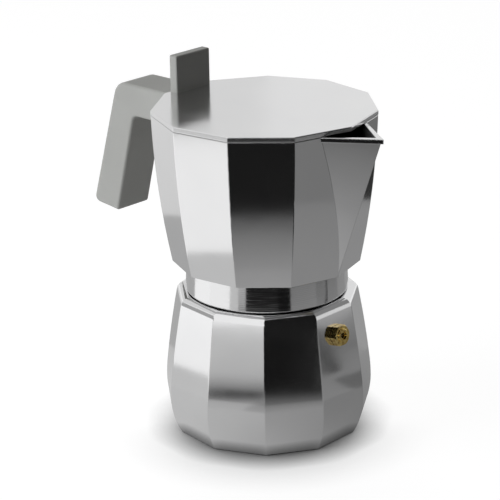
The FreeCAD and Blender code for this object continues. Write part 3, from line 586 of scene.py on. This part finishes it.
near_paper, near_tree = new_material("card_near_sheet")
even = add(near_tree, "Math", {0: towards(near_tree, LIGHT_SIDE), 1: TONE_SWING, 2: MEAN_TONE},
           operation="MULTIPLY_ADD").outputs[0]
open_part = add(near_tree, "AmbientOcclusion", {"Distance": CLOSE_SHADE}, samples=6).outputs["AO"]
level = add(near_tree, "Math", {0: even, 1: open_part}, operation="MULTIPLY").outputs[0]
near_glow = add(near_tree, "Emission", {"Color": WHITE, "Strength": level})
add(near_tree, "OutputMaterial", {"Surface": near_glow.outputs[0]})
card("near_sheet", (NEAR_SHEET[0], CARD_Z), (NEAR_SHEET[1], CARD_Z), -180, 180, near_paper)
print("near sheet's tone from", MEAN_TONE - TONE_SWING, "to", MEAN_TONE + TONE_SWING)

# %% [markdown]
# ## Lying cards
# Each flat side of the pot mirrors one sector of the floor, nearer paper low down and further paper high
# up. The left sides are light, the two in front turn from grey to black, and the right ones stay a middle
# grey. One picture of a room could be wrapped around the pot instead. Cards are easier to reason about: a
# side that is too dark needs a lighter ring in its own sector, and the other sides hardly change.

# %% Lay the cards
# From one studio azimuth to another: each ring's outer radius in mm, its tone inside and its tone outside
LYING = [
    (-180, -115, [(270, 0.42, 0.44), (1500, 0.70, 1.0)]),
    (-115, -82, [(183, 0.62, 0.58)]),
    (-82, -50, [(183, 0.62, 0.58), (470, 1.0, 1.0), (1200, 0.52, 0.56)]),
    (-50, -38, [(222, 0.50, 0.60), (1600, 0.60, 0.64)]),
    (-38, -28, [(168, 0.48, 0.44), (192, 0.38, 0.04), (222, 0.03, 0.06), (300, 0.22, 0.48),
                (2500, 0.52, 0.82)]),
    (-28, 14, [(155, 0.38, 0.32), (211, 0.30, 0.19), (238, 0.18, 0.10), (256, 0.09, 0.012),
               (2500, 0.011, 0.011)]),
    (14, 30.5, [(165, 0.31, 0.22), (215, 0.17, 0.008), (2500, 0.007, 0.007)]),
    (30.5, 68, [(270, 0.28, 0.24), (880, 0.20, 0.19)]),
    (68, 80, [(270, 0.26, 0.20), (880, 0.15, 0.15)]),
    (80, 110, [(172, 0.15, 0.13), (260, 0.25, 0.22), (500, 0.18, 0.28), (880, 0.34, 0.60)]),
    (110, 135, [(290, 0.30, 0.28), (400, 0.03, 0.03), (880, 0.17, 0.17)]),
    (135, 180, [(600, 0.34, 0.34)]),
]


def ring_tone(name, inner, outer, inner_tone, outer_tone):
    """A card's tone, 1 is white, changing evenly between two radii in mm."""
    material, tree = new_material(name)
    place = add(tree, "TexCoord", {}).outputs["Object"]
    radius = add(tree, "VectorMath", {0: place}, operation="LENGTH").outputs["Value"]
    level = add(tree, "MapRange", {"Value": radius, "From Min": inner * MM, "From Max": outer * MM,
                                   "To Min": inner_tone, "To Max": outer_tone})
    glow = add(tree, "Emission", {"Color": WHITE, "Strength": level.outputs[0]})
    add(tree, "OutputMaterial", {"Surface": glow.outputs[0]})
    return material


for start, end, rings in LYING:
    inner = NEAR_SHEET[1]
    for outer, inner_tone, outer_tone in rings:
        label = "card_lying_%d_%d" % (start, outer)
        tone = ring_tone(label, inner, outer, inner_tone, outer_tone)
        card(label, (inner, CARD_Z), (outer, CARD_Z), start, end, tone)
        inner = outer
print("lying cards", sum(len(rings) for start, end, rings in LYING), "in", len(LYING), "sectors")

# %% [markdown]
# ## Black flags
# A black card is called a flag. Flags at the front and the right keep light off the knob's front, the
# grip's inner side and the dark sides of the pot, so unlike other cards they also shade matt surfaces. Two
# of them are left out of reflections, where a wide black card would darken the whole lid seen from behind,
# and a smaller one is mirrored instead. A dark strip on the floor draws a narrow line in the side with the
# valve.

# %% Hang the flags
FLAG_RADIUS = 900
# Name, lower and upper edge in mm, from one studio azimuth to another, and whether reflections see it
FLAGS = [
    ("flag_low", 0, 170, -25, 20, True),
    ("flag_front", 170, 2600, -45, 20, False),
    ("flag_high", 0, 2600, 20, 84, True),
    ("flag_side", 0, 2600, 84, 140, False),
]
STRIP_SIZE, STRIP_PLACE, STRIP_TONE = (11 * MM, 270 * MM, 1), (29.5 * MM, 325 * MM, 0.3 * MM), 0.05

black = plain_tone("card_black", 0.011)
for label, low, high, start, end, mirrored in FLAGS:
    flag = card(label, (FLAG_RADIUS, low), (FLAG_RADIUS, high), start, end, black)
    flag.visible_diffuse = True
    flag.visible_glossy = mirrored
card("flag_small", (890, 330), (890, 1800), -14, 20, black)
seam = bmesh.new()
bmesh.ops.create_grid(seam, x_segments=1, y_segments=1, size=0.5)
bmesh.ops.scale(seam, verts=seam.verts, vec=STRIP_SIZE)
bmesh.ops.translate(seam, verts=seam.verts, vec=STRIP_PLACE)
bmesh.ops.rotate(seam, verts=seam.verts, cent=ORIGIN, matrix=Matrix.Rotation(math.radians(FRONT), 3, "Z"))
only_mirrored(placed_object("seam", seam, plain_tone("card_seam", STRIP_TONE)))
print("flags", len(FLAGS) + 1, "and a strip")

# %% [markdown]
# ## Standing cards
# What leans back mirrors things that stand: the shoulder of the boiler and the lid. A grey card on the left
# keeps the left sides from going white, two on the right give the valve's side its light and its grey, and
# two pale ones behind make the lid a soft light grey instead of plain white.

# %% Stand the cards up
# Name, material, radius, lower and upper edge in mm, from one studio azimuth to another, tone
STANDING = [
    ("left_card", "card_left_grey", 1600, 100, 900, -150, -45, 0.40),
    ("side_card_low", "card_light_grey", 890, 0, 480, 84, 118, 0.74),
    ("side_card_high", "card_grey", 890, 480, 2600, 84, 140, 0.24),
    ("back_card_right", "card_pale", 900, 100, 1300, 140, 180, 0.85),
    ("back_card_left", "card_pale_grey", 900, 100, 1300, 180, 250, 0.76),
]
for label, finish, radius, low, high, start, end, tone in STANDING:
    card(label, (radius, low), (radius, high), start, end, plain_tone(finish, tone))
print("standing cards", len(STANDING))

# %% [markdown]
# ## The air
# The world is the air around the set. It is white where it is looked at or mirrored, and dim where it only
# lights matt surfaces. So a pale background needs no extra light on the pot, and colours look about as they
# are written.

# %% White air
AIR_LIGHT, AIR_SEEN = 0.25, 1.0

world = bpy.data.worlds.new("studio_air")
world.use_nodes = True
bpy.context.scene.world = world
air = world.node_tree
air.nodes.clear()
strength = add(air, "MapRange", {"Value": looked_at(air), "To Min": AIR_LIGHT, "To Max": AIR_SEEN}).outputs[0]
air_light = add(air, "Background", {"Color": WHITE, "Strength": strength})
add(air, "OutputWorld", {"Surface": air_light.outputs[0]})
print("air seen at", AIR_SEEN, "and lighting at", AIR_LIGHT)

# %% [markdown]
# ## The lamps
# One large soft box stands low on the left, like a window beside the table, and a weaker one hangs above
# and behind the pot. They light the plastic and the paper. The metal gets its light from the cards, so the
# lamps stay out of reflections, where a bright square would show.

# %% Soft boxes
AIM = Vector((0, 0, 0.08))


def soft_lamp(name, azimuth, elevation, distance, size, power, colour):
    """A square soft box at a studio azimuth that looks at the pot's middle."""
    data = bpy.data.lights.new(name, "AREA")
    data.shape = "SQUARE"
    data.size = size
    data.energy = power
    data.color = linear(colour)[:3]
    lamp = bpy.data.objects.new(name, data)
    bpy.context.scene.collection.objects.link(lamp)
    outward = direction(FRONT + azimuth, elevation)
    lamp.location = AIM + outward * distance
    lamp.rotation_mode = "QUATERNION"
    lamp.rotation_quaternion = looking_along(-outward)
    lamp.visible_glossy = False
    print(name, power, "W at", distance, "m")


soft_lamp("soft_box_left", azimuth=-74, elevation=8, distance=1.1, size=0.7, power=12.9, colour="FAFCFF")
soft_lamp("soft_box_top", azimuth=180, elevation=70, distance=1.2, size=0.4, power=3, colour="FFFFFF")
